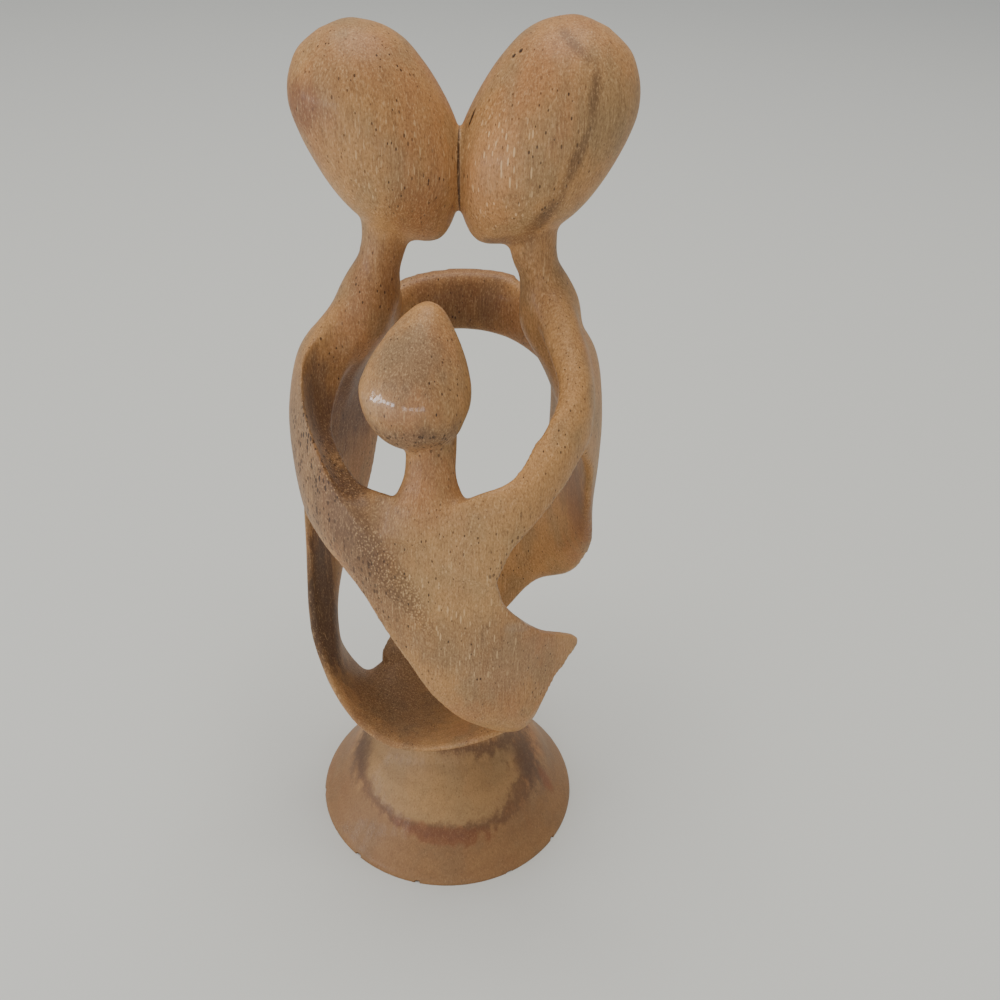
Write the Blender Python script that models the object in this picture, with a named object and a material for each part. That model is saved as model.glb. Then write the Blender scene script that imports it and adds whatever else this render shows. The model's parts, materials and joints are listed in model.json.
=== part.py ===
"""Carved wooden family group: two parents with their heads together, a child in their arms and a
round base, cut from one round log. Metres, +Z up, the group faces -Y, origin at the centre of the
underside. The pose is drawn in millimetres on a log DRAWN_HEIGHT tall, and UNIT scales it."""
import bmesh
import bpy
import numpy as np

# Driving sizes, in metres
HEIGHT = 0.200
WALL = 0.00516
EDGE = 0.00189
HEAD_RADIUS = 0.0136
CHILD_HEAD_RADIUS = 0.0108
BASE_RADIUS = 0.0340
BASE_HEIGHT = 0.0318

# The drawn log: its height, and the metres that one drawn millimetre stands for
DRAWN_HEIGHT = 201.45
UNIT = HEIGHT / DRAWN_HEIGHT
LOG_CENTRE = (0.0, 0.0, 100.0)

# The left arm's carving: how far its back is dished and its front swells, in drawn millimetres,
# and how sharply each row from the shoulder on is folded
SCOOP = 1.6
CHEEK = 1.8
LEFT_ARM_CREST = (0.0, 0.4, 0.9, 1.0, 1.0, 0.9, 0.5, 0.2)
CHORD_PER_CREST = 2.5

# How often the directions through a strip's wall are evened with their neighbours'
EVENING_ROUNDS = 16

# Head shapes: depth as a share of width, the right parent's size, the smallest ring's share
HEAD_DEPTH_SHARE = 0.90
CHILD_DEPTH_SHARE = 0.95
RIGHT_HEAD_SHARE = 1.05
TIP_SHARE = 0.02

# How the joined form is finished: the share of the way to its neighbours that a point moves in
# each pass, in hollows, on crests, over the shoulders, round the jaws and in the crevice between
# the heads, and where the shoulders and the jaws begin, in drawn millimetres
VOXEL = 1.05 * UNIT
FILLET_PASSES = 14
HOLLOW_SHARE = 0.5
CREST_SHARE = 0.03
JAW_SHARE = 0.5
CREVICE_SHARE = 0.05
CREVICE_HALF_WIDTH = 7.0
NECK_TOP = 157.0
SHOULDER_SHARE = 0.45
SHOULDER_INNER = 12.0
RIGHT_SHOULDER_FLOOR = 128.0
LEFT_SHOULDER_FLOOR = 140.0
CAD_FACES = 9300

# Shares of the length and of the largest radius along each kind of head, crown first
PARENT_EGG = ((0.0, 0.0), (0.02, 0.36), (0.06, 0.57), (0.12, 0.76), (0.20, 0.90), (0.30, 0.97),
              (0.40, 1.0), (0.52, 1.0), (0.64, 0.95), (0.75, 0.83), (0.85, 0.62), (0.93, 0.38),
              (0.98, 0.17), (1.0, 0.0))
CHILD_EGG = ((0.0, 0.0), (0.02, 0.16), (0.06, 0.29), (0.12, 0.42), (0.20, 0.57), (0.30, 0.73),
             (0.40, 0.86), (0.52, 0.97), (0.64, 1.0), (0.75, 0.91), (0.85, 0.75), (0.93, 0.52),
             (0.98, 0.25), (1.0, 0.0))
BASE_PROFILE = ((-0.10, 0.95), (-0.06, 0.998), (0.0, 1.0), (0.04, 0.985), (0.09, 0.95), (0.17, 0.895),
                (0.28, 0.825), (0.42, 0.75), (0.55, 0.665), (0.68, 0.57), (0.80, 0.50),
                (0.92, 0.45), (1.0, 0.44))

# Strips of the log's wall. Each row runs across the strip: edge, how far the middle swells past the
# log or the point it passes through, other edge, and the thickness there in walls
LEFT_TORSO = (
    ((-20.5, -4, 152), 0.0, (-14, 3, 151), 1.45),
    ((-24, -6, 145), -0.5, (-14, 12, 145), 1.9),
    ((-29, -8, 136), -0.3, (-14.5, 25, 136.5), 2.3),
    ((-33, -8, 121), 0.6, (-18, 28, 121), 1.9),
    ((-33, -8, 100), 0.3, (-21, 26.5, 98), 1.2),
    ((-33.4, -8, 82), 0.1, (-24.5, 23.5, 81), 1.0),
    ((-33.9, -8, 68), 0.0, (-30.5, 12.5, 65), 1.0),
    ((-32.7, -9.5, 58), 0.2, (-31.9, 8.2, 54), 1.0),
    ((-28.2, -12.5, 46), (-31.4, -1.5, 42), (-30, 8, 43), 1.0),
    ((-22.4, -16, 38.3), (-24.8, -3, 32.5), (-23.5, 8.5, 33), 1.15),
    ((-14.5, -19.5, 34.8), (-15.5, -4, 28), (-17, 10.5, 36), 1.25),
    ((-5.5, -21.5, 35.4), (-6, -3, 26.5), (-8, 14, 31), 1.35),
    ((2.5, -23, 38.6), (2.5, -3, 27), (1, 17, 30), 1.35),
    ((9.5, -23.6, 42.5), (11, -3, 30), (8, 18, 31), 1.35),
    ((16.5, -22, 45.5), (18, -3, 36), (14, 16, 35), 1.25),
    ((19.5, -20, 49.5), (20, -8, 43), (17, 4, 41), 1.15),
)
RIGHT_TORSO = (
    ((15.5, 3, 151), 0.6, (19.5, -7, 152), 1.35),
    ((15.5, 12, 145), 0.8, (22.5, -11.5, 145), 1.5),
    ((15, 24, 136.5), 0.0, (25.5, -17.5, 136), 1.75),
    ((21.6, 24, 121.5), -1.0, (27.2, -19.5, 125), 1.35),
    ((23, 24, 108), -0.8, (30, -14, 116), 1.2),
    ((21.8, 25.7, 96), -0.6, (31, -9.5, 102), 1.0),
    ((16, 29.5, 84), 0.0, (33, -1, 88), 1.0),
    ((7, 32.5, 72), 0.0, (32.8, 8.5, 75.5), 1.0),
    ((-3, 32, 61), 0.0, (30.3, 17.5, 63.5), 1.0),
    ((-12.5, 26.5, 51), 0.0, (22, 26, 53.5), 1.0),
    ((-17, 17, 43), (-4, 28.5, 43), (14.5, 26.5, 42.5), 1.15),
    ((-19.5, 10, 38.5), (-6, 21, 35), (9, 22, 36), 1.35),
    ((-16.5, 6, 33.5), (-7, 14, 30), (5, 18, 31), 1.35),
)
LEFT_ARM = (
    ((-22, 3, 149), (-20, -4, 151), (-15, -4, 148), 1.35),
    ((-26, 4, 142), (-25, -7, 144.5), (-20, -6.5, 139), 1.35),
    ((-31.8, 3, 133), (-30, -11, 137.5), (-24.3, -5, 128.8), 1.35),
    ((-35.0, -1, 121), (-30, -15.5, 131), (-26, -7, 120.6), 1.25),
    ((-34.9, -5.5, 110.5), (-28.1, -19.5, 125.5), (-24.2, -11.5, 117), 1.15),
    ((-32, -13, 102), (-24.2, -24.3, 118), (-18.8, -20, 114.2), 1.05),
    ((-27, -21, 99), (-19.5, -28, 112), (-10.4, -28, 116), 1.05),
    ((-21.5, -26, 95.2), (-12, -31.8, 104), (-2, -32.5, 113), 1.05),
    ((-17.3, -28.7, 90.8), (-6, -33, 98), (6, -32.5, 107), 1.05),
    ((-12.7, -31, 83.4), (-1, -33.7, 90), (10.8, -32, 98.5), 1.0),
    ((-7.6, -32.2, 75), (4, -33.7, 81), (13.6, -31, 90.5), 0.95),
    ((-2.6, -32, 65.5), (9, -33, 72), (21.7, -26.2, 80.4), 0.9),
    ((3.2, -29.5, 56.6), (15, -30.5, 62), (30.8, -15.6, 69.8), 0.7),
    ((8, -27.5, 52), (17, -29, 57), (28.4, -18.6, 65.4), 0.75),
    ((12, -25, 48), (18.5, -27, 52), (24.2, -23.4, 60.4), 0.8),
    ((16, -21.5, 44.5), (19, -23, 46.5), (22, -22.5, 51.5), 0.95),
)
RIGHT_ARM = (
    ((23, -1, 150), (20.5, -5.5, 152), (15, -4, 149), 1.35),
    ((27, -7, 142), (24, -12, 145), (17.5, -10.5, 143), 1.35),
    ((29.4, -13.5, 133.5), (26, -18.5, 138), (20.6, -17.5, 136), 1.35),
    ((28.8, -18, 126.8), (25, -23, 131), (17.6, -23.3, 129), 1.25),
    ((24.6, -23.6, 119), (20, -27.5, 122.5), (13.2, -27.3, 121.8), 1.15),
    ((19.2, -28, 112.2), (13, -31, 115), (6.7, -30, 119.2), 1.1),
    ((13.9, -31, 105.7), (6, -33, 108), (-1, -31.5, 115), 1.1),
    ((11.2, -32, 98), (3, -33.6, 101), (-8, -31, 108), 1.05),
)
BACK_ARCH = (
    ((-26, 17, 133), 0.0, (-26.5, 17.5, 120), 1.0),
    ((-21.3, 24.5, 135.5), 0.0, (-21.8, 25, 121), 1.0),
    ((-12, 31.6, 138.2), 0.0, (-12, 31.6, 123.4), 1.0),
    ((0, 33.8, 139.6), 0.0, (0, 33.8, 124.8), 1.0),
    ((12, 31.6, 139.4), 0.0, (12, 31.6, 124), 1.0),
    ((21.3, 24.5, 136), 0.0, (21.8, 25, 121), 1.0),
    ((26, 17, 133), 0.0, (26.5, 17.5, 118), 1.0),
)

# Heads: crown and chin, and how far the left one's middle is bowed outwards
LEFT_HEAD = ((-25.5, 0.5, 198.0), (-3.6, 0.5, 159.5))
RIGHT_HEAD = ((26.5, 3.6, 199.72), (4, 0.4, 159.5))
CHILD_HEAD = ((-3.6, -20, 155.4), (-8.0, -25.5, 125.7))
LEFT_HEAD_BEND = 0.5

# Round limbs: centre, half width across X, half width across Y
LEFT_NECK = (
    ((-13.6, 0.5, 168), 6.0, 6.0),
    ((-14.0, 0.3, 161), 5.0, 5.2),
    ((-15.1, 0, 156.5), 4.6, 4.8),
    ((-16.9, 0.8, 152), 5.3, 5.8),
    ((-18.2, 0.8, 147), 6.6, 7.2),
    ((-19.5, 1.5, 141), 6.6, 8.0),
    ((-21.5, 6.0, 134), 5.5, 10.0),
    ((-24.5, 11.0, 125), 4.0, 10.0),
    ((-27.0, 13.0, 114), 2.5, 7.0),
)
RIGHT_NECK = (
    ((14, 0.5, 168), 6.0, 6.0),
    ((14.8, 0.3, 161), 5.0, 5.2),
    ((15.7, 0, 156.5), 4.7, 4.8),
    ((17.9, 0.8, 152), 5.3, 5.8),
    ((19.8, 0.8, 147), 6.7, 7.2),
    ((20.5, 1.5, 141), 6.8, 8.0),
    ((23.6, 5.0, 132), 5.4, 12.0),
    ((26.2, 5.5, 122), 3.8, 12.0),
    ((28.2, 5.5, 111), 2.4, 8.0),
)
CHILD_NECK = (
    ((-3.2, -23, 134), 5.0, 4.6),
    ((-3.2, -24, 127), 5.1, 4.6),
    ((-3.3, -26.0, 120), 5.3, 4.4),
    ((-3.3, -28, 114), 7.8, 4.2),
    ((-3.5, -29.3, 108), 9.0, 4.0),
)


def curve_through(rows, steps):
    """Points on a smooth curve through the rows, with this many steps between neighbours."""
    rows = np.asarray(rows, float)
    padded = np.vstack([2 * rows[0] - rows[1], rows, 2 * rows[-1] - rows[-2]])
    found = []
    for a, b, c, d in zip(padded, padded[1:], padded[2:], padded[3:]):
        for t in np.arange(steps) / steps:
            found.append(0.5 * (2 * b + (c - a) * t + (2 * a - 5 * b + 4 * c - d) * t**2
                                + (3 * b - a - 3 * c + d) * t**3))
    return np.array(found + [rows[-1]])


def middle_of(edge, middle, other):
    """The point a strip's cross-section passes through: on the log's round, or as given."""
    if isinstance(middle, tuple):
        return middle
    edge, other = np.array(edge, float), np.array(other, float)
    halfway = (edge + other) / 2
    radius = (np.hypot(*edge[:2]) + np.hypot(*other[:2])) / 2 + middle
    return (*(halfway[:2] * radius / np.hypot(*halfway[:2])), halfway[2])


def grid_faces(rows, columns):
    """Quads over a grid of vertices whose columns run round in a ring."""
    return [(i * columns + j, i * columns + (j + 1) % columns,
             (i + 1) * columns + (j + 1) % columns, (i + 1) * columns + j)
            for i in range(rows - 1) for j in range(columns)]


def tube_of(rings):
    """A closed mesh through rings of points, with a fan over each end."""
    rings = np.asarray(rings, float)
    count, columns = rings.shape[:2]
    verts = np.vstack([rings.reshape(-1, 3), rings[0].mean(0), rings[-1].mean(0)])
    faces = grid_faces(count, columns)
    near, far = count * columns, count * columns + 1
    start = (count - 1) * columns
    for j in range(columns):
        faces.append((near, (j + 1) % columns, j))
        faces.append((far, start + j, start + (j + 1) % columns))
    return verts, faces


def evened(directions, rounds):
    """Unit directions over a grid, each brought towards its neighbours' this many times."""
    for _ in range(rounds):
        for axis in (0, 1):
            ends = [(1, 1) if k == axis else (0, 0) for k in range(3)]
            wide = np.pad(directions, ends, mode="edge")
            before = np.take(wide, range(wide.shape[axis] - 2), axis=axis)
            after = np.take(wide, range(2, wide.shape[axis]), axis=axis)
            directions = (before + 2 * directions + after) / 4
        directions = directions / np.linalg.norm(directions, axis=2, keepdims=True)
    return directions


def strip(rows, crests=(), across=15, along=5):
    """A shell through the rows, its outer face as given and its inner face the thickness inside.
    A crest share of 1 folds a row to a ridge at its middle and dishes the face beyond it."""
    wall, edge = WALL / UNIT, EDGE / UNIT
    crests = [*crests, *[0.0] * (len(rows) - len(crests))]
    flat = [(*a, *middle_of(a, m, b), *b, thick, crest)
            for (a, m, b, thick), crest in zip(rows, crests)]
    path = curve_through(flat, along)
    a, m, b = (path[:, None, k:k + 3] for k in (0, 3, 6))
    thick, crest = wall * path[:, 9], np.clip(path[:, 10], 0, 1)[:, None]
    s = (1 - np.cos(np.linspace(0, np.pi, across))) / 2
    t = s[None, :, None]
    rounded = a * (1 - t) * (1 - 2 * t) + m * 4 * t * (1 - t) + b * t * (2 * t - 1)
    folded = np.where(t < 0.5, a + (m - a) * 2 * t, m + (b - m) * (2 * t - 1))
    outer = rounded + (folded - rounded) * crest[:, :, None]
    normal = np.cross(np.gradient(outer, axis=0), np.gradient(outer, axis=1))
    normal /= np.linalg.norm(normal, axis=2, keepdims=True)
    normal *= np.sign(np.sum(normal * (np.array(LOG_CENTRE) - outer)))
    normal = evened(normal, EVENING_ROUNDS)
    dished = np.sin(np.pi * (2 * s - 1)) * np.where(s > 0.5, SCOOP, CHEEK)
    outer = outer + normal * (crest * dished)[:, :, None]
    swell = np.clip(1 - np.abs(2 * s - 1) ** 3, 0, 1) ** (1 / 3)
    depth = edge + (thick[:, None] - edge) * swell[None, :]
    inward = normal.mean(axis=1, keepdims=True)
    inward /= np.linalg.norm(inward, axis=2, keepdims=True)
    chord = a + (b - a) * t + inward * edge
    inner = outer + normal * depth[:, :, None]
    inner = inner + (chord - inner) * np.clip(CHORD_PER_CREST * crest, 0, 1)[:, :, None]
    return tube_of(np.concatenate([outer, inner[:, ::-1]], axis=1))


def limb(rows, sides=28, along=5):
    """A round limb through centres, each with its half widths, its rings lying level."""
    path = curve_through([(*centre, wide, deep) for centre, wide, deep in rows], along)
    turn = np.linspace(0, 2 * np.pi, sides, endpoint=False)
    rings = [np.stack([x + wide * np.cos(turn), y + deep * np.sin(turn), np.full(sides, z)], 1)
             for x, y, z, wide, deep in path]
    return tube_of(rings)


def egg(crown, chin, radius, shares, depth_share, bend=0.0, sides=40):
    """A head of revolution from the crown to the chin, flattened front to back."""
    crown, chin = np.array(crown, float), np.array(chin, float)
    axis = chin - crown
    length = np.linalg.norm(axis)
    axis /= length
    side = np.cross(axis, (0.0, 1.0, 0.0))
    side /= np.linalg.norm(side)
    front = np.cross(side, axis)
    turn = np.linspace(0, 2 * np.pi, sides, endpoint=False)
    rings = []
    for along, share in curve_through(shares, 3):
        centre = crown + axis * length * along + side * bend * np.sin(np.pi * along)
        wide = max(share, TIP_SHARE) * radius
        rings.append(centre + np.outer(np.cos(turn), side) * wide
                     + np.outer(np.sin(turn), front) * wide * depth_share)
    return tube_of(rings)


def dome(radius, height, shares, sides=72):
    """The round base, standing on its flat underside."""
    turn = np.linspace(0, 2 * np.pi, sides, endpoint=False)
    rings = [np.stack([radius * share * np.cos(turn), radius * share * np.sin(turn),
                       np.full(sides, height * up)], 1) for up, share in curve_through(shares, 3)]
    return tube_of(rings)


def pieces_of_group():
    """Every overlapping form the log is carved into."""
    head = HEAD_RADIUS / UNIT
    return [
        strip(LEFT_TORSO),
        strip(RIGHT_TORSO),
        strip(LEFT_ARM, LEFT_ARM_CREST),
        strip(RIGHT_ARM),
        strip(BACK_ARCH),
        limb(LEFT_NECK),
        limb(RIGHT_NECK),
        limb(CHILD_NECK),
        egg(*LEFT_HEAD, head, PARENT_EGG, HEAD_DEPTH_SHARE, LEFT_HEAD_BEND),
        egg(*RIGHT_HEAD, head * RIGHT_HEAD_SHARE, PARENT_EGG, HEAD_DEPTH_SHARE),
        egg(*CHILD_HEAD, CHILD_HEAD_RADIUS / UNIT, CHILD_EGG, CHILD_DEPTH_SHARE),
        dome(BASE_RADIUS / UNIT, BASE_HEIGHT / UNIT, BASE_PROFILE),
    ]


def outward(verts, faces):
    """The faces turned to look out of the closed mesh."""
    volume = 0.0
    for face in faces:
        for i in range(1, len(face) - 1):
            volume += np.dot(verts[face[0]], np.cross(verts[face[i]], verts[face[i + 1]]))
    return faces if volume > 0 else [face[::-1] for face in faces]


def wood(name, colour, roughness):
    """A plain oiled wood."""
    material = bpy.data.materials.new(name)
    material.use_nodes = True
    shader = material.node_tree.nodes["Principled BSDF"]
    shader.inputs["Base Color"].default_value = (*colour, 1.0)
    shader.inputs["Roughness"].default_value = roughness
    return material


def joined(name, pieces):
    """One object holding every closed piece, scaled to metres."""
    verts, faces = [], []
    for piece_verts, piece_faces in pieces:
        start = len(verts)
        verts.extend(piece_verts * UNIT)
        faces.extend(tuple(start + v for v in face) for face in outward(piece_verts, piece_faces))
    mesh = bpy.data.meshes.new(name)
    mesh.from_pydata([tuple(v) for v in verts], [], faces)
    made = bpy.data.objects.new(name, mesh)
    bpy.context.collection.objects.link(made)
    return made


def applied(made):
    """The object's mesh with its modifiers worked in."""
    graph = bpy.context.evaluated_depsgraph_get()
    mesh = bpy.data.meshes.new_from_object(made.evaluated_get(graph))
    made.modifiers.clear()
    made.data = mesh
    return made


def filled_hollows(made, passes):
    """Softens the inner corners where forms meet, and leaves the crests as they are."""
    work = bmesh.new()
    work.from_mesh(made.data)
    for _ in range(passes):
        moves = []
        for vert in work.verts:
            around = [edge.other_vert(vert).co for edge in vert.link_edges]
            pull = sum(around, around[0] * 0) / len(around) - vert.co
            share = HOLLOW_SHARE if pull.dot(vert.normal) > 0 else CREST_SHARE
            x, _, z = vert.co / UNIT
            shoulder_floor = RIGHT_SHOULDER_FLOOR if x > 0 else LEFT_SHOULDER_FLOOR
            if z > NECK_TOP:
                share *= CREVICE_SHARE if abs(x) < CREVICE_HALF_WIDTH else JAW_SHARE
            elif z > shoulder_floor and abs(x) > SHOULDER_INNER:
                share = SHOULDER_SHARE
            moves.append(vert.co + pull * share)
        for vert, move in zip(work.verts, moves):
            vert.co = move
        work.normal_update()
    everything = work.verts[:] + work.edges[:] + work.faces[:]
    cut = bmesh.ops.bisect_plane(work, geom=everything, plane_co=(0, 0, 0), plane_no=(0, 0, -1),
                                 clear_outer=True)
    bmesh.ops.contextual_create(work, geom=[g for g in cut["geom_cut"]
                                            if isinstance(g, bmesh.types.BMEdge)])
    work.to_mesh(made.data)
    work.free()


for old in list(bpy.data.objects):
    bpy.data.objects.remove(old)

group = joined("family_group", pieces_of_group())
remesh = group.modifiers.new("Join", "REMESH")
remesh.mode = "VOXEL"
remesh.voxel_size = VOXEL
applied(group)
filled_hollows(group, FILLET_PASSES)
triangles = sum(len(face.vertices) - 2 for face in group.data.polygons)
thin = group.modifiers.new("Thin", "DECIMATE")
thin.ratio = CAD_FACES / triangles
thin.use_collapse_triangulate = True
applied(group)
group.data.materials.append(wood("oiled_wood", (0.42, 0.22, 0.10), 0.45))
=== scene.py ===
"""Dressed model of a hand-carved wooden family group: two parents with their heads together, a
child in their arms and a round base, all cut from one small log.

The pose is drawn in millimetres on a log DRAWN_HEIGHT tall, as the carver sees it: +Z up along
the grain, the group facing -Y, the middle of the underside at the origin. Log.unit turns a drawn
millimetre into metres.
"""
import json
import logging
import math
from collections.abc import Sequence
from dataclasses import dataclass, field
from enum import Enum

import bmesh
import bpy
import numpy as np
from mathutils import Matrix, Vector

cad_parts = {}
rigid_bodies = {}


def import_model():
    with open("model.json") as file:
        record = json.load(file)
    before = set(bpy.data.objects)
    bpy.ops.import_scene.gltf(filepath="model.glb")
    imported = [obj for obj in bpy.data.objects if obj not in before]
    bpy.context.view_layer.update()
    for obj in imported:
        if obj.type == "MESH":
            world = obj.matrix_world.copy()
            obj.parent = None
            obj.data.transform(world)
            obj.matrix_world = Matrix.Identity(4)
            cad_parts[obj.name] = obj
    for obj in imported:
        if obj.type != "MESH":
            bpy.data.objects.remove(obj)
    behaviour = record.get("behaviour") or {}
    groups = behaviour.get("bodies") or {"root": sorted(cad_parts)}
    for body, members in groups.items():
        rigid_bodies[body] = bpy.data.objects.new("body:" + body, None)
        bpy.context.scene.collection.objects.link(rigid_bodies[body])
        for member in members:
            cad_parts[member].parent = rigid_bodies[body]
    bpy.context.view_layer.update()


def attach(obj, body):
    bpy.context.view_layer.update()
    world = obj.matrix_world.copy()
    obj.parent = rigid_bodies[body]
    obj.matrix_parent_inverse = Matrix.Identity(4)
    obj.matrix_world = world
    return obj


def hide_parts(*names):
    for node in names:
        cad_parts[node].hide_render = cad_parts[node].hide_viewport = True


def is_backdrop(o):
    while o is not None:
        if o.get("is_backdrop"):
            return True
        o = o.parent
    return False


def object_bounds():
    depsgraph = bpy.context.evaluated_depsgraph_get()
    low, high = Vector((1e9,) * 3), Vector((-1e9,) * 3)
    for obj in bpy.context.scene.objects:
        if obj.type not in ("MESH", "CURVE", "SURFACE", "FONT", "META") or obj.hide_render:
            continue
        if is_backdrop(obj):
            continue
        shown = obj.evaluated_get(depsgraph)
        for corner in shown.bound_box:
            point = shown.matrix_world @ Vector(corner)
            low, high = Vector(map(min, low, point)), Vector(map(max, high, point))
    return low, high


LOG = logging.getLogger("family_group")
MM = 0.001

Point = tuple[float, float, float]
Room = tuple[float, float]
Shell = tuple[np.ndarray, list[tuple[int, ...]]]
Socket = bpy.types.NodeSocket


class Softening(Enum):
    """How far a point of the joined wood moves to its neighbours' middle in one pass.

    JAW and CREVICE are shares of the others, for the heads and for the gap between them.
    """

    HOLLOW = 0.5
    CREST = 0.035
    JAW = 0.6
    CREVICE = 0.04
    SHOULDER = 0.45


class Flaw(Enum):
    """Small damage in the wood: half width, half length and half depth, in metres."""

    CRACK = (0.00028, 0.0023, 0.0016)
    BORE = (0.00034, 0.0004, 0.0013)
    CHIP = (0.0015, 0.0011, 0.0008)


@dataclass(frozen=True)
class Log:
    """The blank that the group is cut from.

    Attributes:
        height: Finished height in metres.
        wall: Usual thickness of the carved walls, in metres.
        drawn_height: Height of the drawing, in drawn millimetres.
        centre: A point on the log's axis, in drawn millimetres.
    """

    height: float = 0.200
    wall: float = 0.00516
    drawn_height: float = 201.45
    centre: Point = (0.0, 0.0, 100.0)

    @property
    def unit(self) -> float:
        """Metres in one drawn millimetre."""
        return self.height / self.drawn_height


def curve_through(rows: Sequence[Sequence[float]], steps: int) -> np.ndarray:
    """Points on a smooth curve through the rows.

    Args:
        rows: The rows of numbers that the curve passes through.
        steps: How many steps lie between neighbouring rows.

    Returns:
        One row of numbers for each point, ends included.
    """
    rows = np.asarray(rows, float)
    padded = np.vstack([2 * rows[0] - rows[1], rows, 2 * rows[-1] - rows[-2]])
    found = []
    for a, b, c, d in zip(padded, padded[1:], padded[2:], padded[3:]):
        for t in np.arange(steps) / steps:
            found.append(0.5 * (2 * b + (c - a) * t + (2 * a - 5 * b + 4 * c - d) * t**2
                                + (3 * b - a - 3 * c + d) * t**3))
    return np.array(found + [rows[-1]])


def tube_of(rings: Sequence[np.ndarray] | np.ndarray) -> Shell:
    """A closed skin through rings of points, with a fan over each end.

    Args:
        rings: Rings of points, each with as many points as the next.

    Returns:
        The points, and the faces that look outwards.
    """
    rings = np.asarray(rings, float)
    count, columns = rings.shape[:2]
    points = np.vstack([rings.reshape(-1, 3), rings[0].mean(0), rings[-1].mean(0)])
    faces = [(i * columns + j, i * columns + (j + 1) % columns,
              (i + 1) * columns + (j + 1) % columns, (i + 1) * columns + j)
             for i in range(count - 1) for j in range(columns)]
    near, far, start = count * columns, count * columns + 1, (count - 1) * columns
    for j in range(columns):
        faces.append((near, (j + 1) % columns, j))
        faces.append((far, start + j, start + (j + 1) % columns))
    volume = sum(np.dot(points[face[0]], np.cross(points[face[i]], points[face[i + 1]]))
                 for face in faces for i in range(1, len(face) - 1))
    return points, faces if volume > 0 else [face[::-1] for face in faces]


def evened(directions: np.ndarray, rounds: int) -> np.ndarray:
    """Unit directions over a grid, each brought towards its neighbours'.

    Args:
        directions: A grid of unit vectors.
        rounds: How often.

    Returns:
        The evened grid of unit vectors.
    """
    for _ in range(rounds):
        for axis in (0, 1):
            pads = [(1, 1) if k == axis else (0, 0) for k in range(3)]
            wide = np.pad(directions, pads, mode="edge")
            before = np.take(wide, range(wide.shape[axis] - 2), axis=axis)
            after = np.take(wide, range(2, wide.shape[axis]), axis=axis)
            directions = (before + 2 * directions + after) / 4
        directions = directions / np.linalg.norm(directions, axis=2, keepdims=True)
    return directions


@dataclass
class Strip:
    """A ribbon of the log's wall, such as a sleeve or the bowl's rim.

    Attributes:
        rows: Across the ribbon: edge, how far the middle swells past the log or the point it
            passes through, other edge, and the thickness there in walls.
        crests: How sharply each row is folded to a ridge at its middle, from 0 to 1.
        edge: Thickness at the ribbon's two rims, in metres.
        keen: How slowly the ribbon thickens from its rims; more is more knife-like.
        scoop: How deep a folded row is dished beyond the ridge, in drawn millimetres.
        cheek: How far a folded row swells before the ridge, in drawn millimetres.
        flatten: How fast a fold flattens the ribbon's inner side, per unit of its sharpness.
        even_rounds: How often the thickness's direction is evened over the ribbon.
        across: Points across the ribbon.
        along: Steps from one row to the next.
    """

    rows: tuple
    crests: tuple[float, ...] = ()
    edge: float = 0.0016
    keen: float = 0.35
    scoop: float = 1.9
    cheek: float = 1.8
    flatten: float = 2.5
    even_rounds: int = 30
    across: int = 25
    along: int = 8

    @staticmethod
    def middle_of(edge: Point, middle: object, other: Point) -> Point:
        """The point that a row passes through.

        Args:
            edge: The row's first edge.
            middle: How far the row swells past the log, or the point itself.
            other: The row's other edge.

        Returns:
            A point on the log's round, or the one given.
        """
        if isinstance(middle, tuple):
            return middle
        start, end = np.array(edge, float), np.array(other, float)
        halfway = (start + end) / 2
        radius = (np.hypot(*start[:2]) + np.hypot(*end[:2])) / 2 + middle
        return (*(halfway[:2] * radius / np.hypot(*halfway[:2])), halfway[2])

    def shell(self, log: Log) -> Shell:
        """The ribbon's closed skin.

        Args:
            log: The log that it is cut from.

        Returns:
            The points in drawn millimetres, and the faces.
        """
        wall, edge = log.wall / log.unit, self.edge / log.unit
        crests = [*self.crests, *[0.0] * (len(self.rows) - len(self.crests))]
        flat = [(*a, *self.middle_of(a, m, b), *b, thick, crest)
                for (a, m, b, thick), crest in zip(self.rows, crests)]
        path = curve_through(flat, self.along)
        a, m, b = (path[:, None, k:k + 3] for k in (0, 3, 6))
        thick, crest = wall * path[:, 9], np.clip(path[:, 10], 0, 1)[:, None]
        s = (1 - np.cos(np.linspace(0, np.pi, self.across))) / 2
        t = s[None, :, None]
        rounded = a * (1 - t) * (1 - 2 * t) + m * 4 * t * (1 - t) + b * t * (2 * t - 1)
        folded = np.where(t < 0.5, a + (m - a) * 2 * t, m + (b - m) * (2 * t - 1))
        outer = rounded + (folded - rounded) * crest[:, :, None]
        normal = np.cross(np.gradient(outer, axis=0), np.gradient(outer, axis=1))
        normal /= np.linalg.norm(normal, axis=2, keepdims=True)
        normal *= np.sign(np.sum(normal * (np.array(log.centre) - outer)))
        normal = evened(normal, self.even_rounds)
        dished = np.sin(np.pi * (2 * s - 1)) * np.where(s > 0.5, self.scoop, self.cheek)
        outer = outer + normal * (crest * dished)[:, :, None]
        swell = np.sin(np.pi * s) ** self.keen
        depth = edge + (thick[:, None] - edge) * swell[None, :]
        inward = normal.mean(axis=1, keepdims=True)
        inward /= np.linalg.norm(inward, axis=2, keepdims=True)
        chord = a + (b - a) * t + inward * edge
        inner = outer + normal * depth[:, :, None]
        inner = inner + (chord - inner) * np.clip(self.flatten * crest, 0, 1)[:, :, None]
        return tube_of(np.concatenate([outer, inner[:, ::-1]], axis=1))


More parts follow.
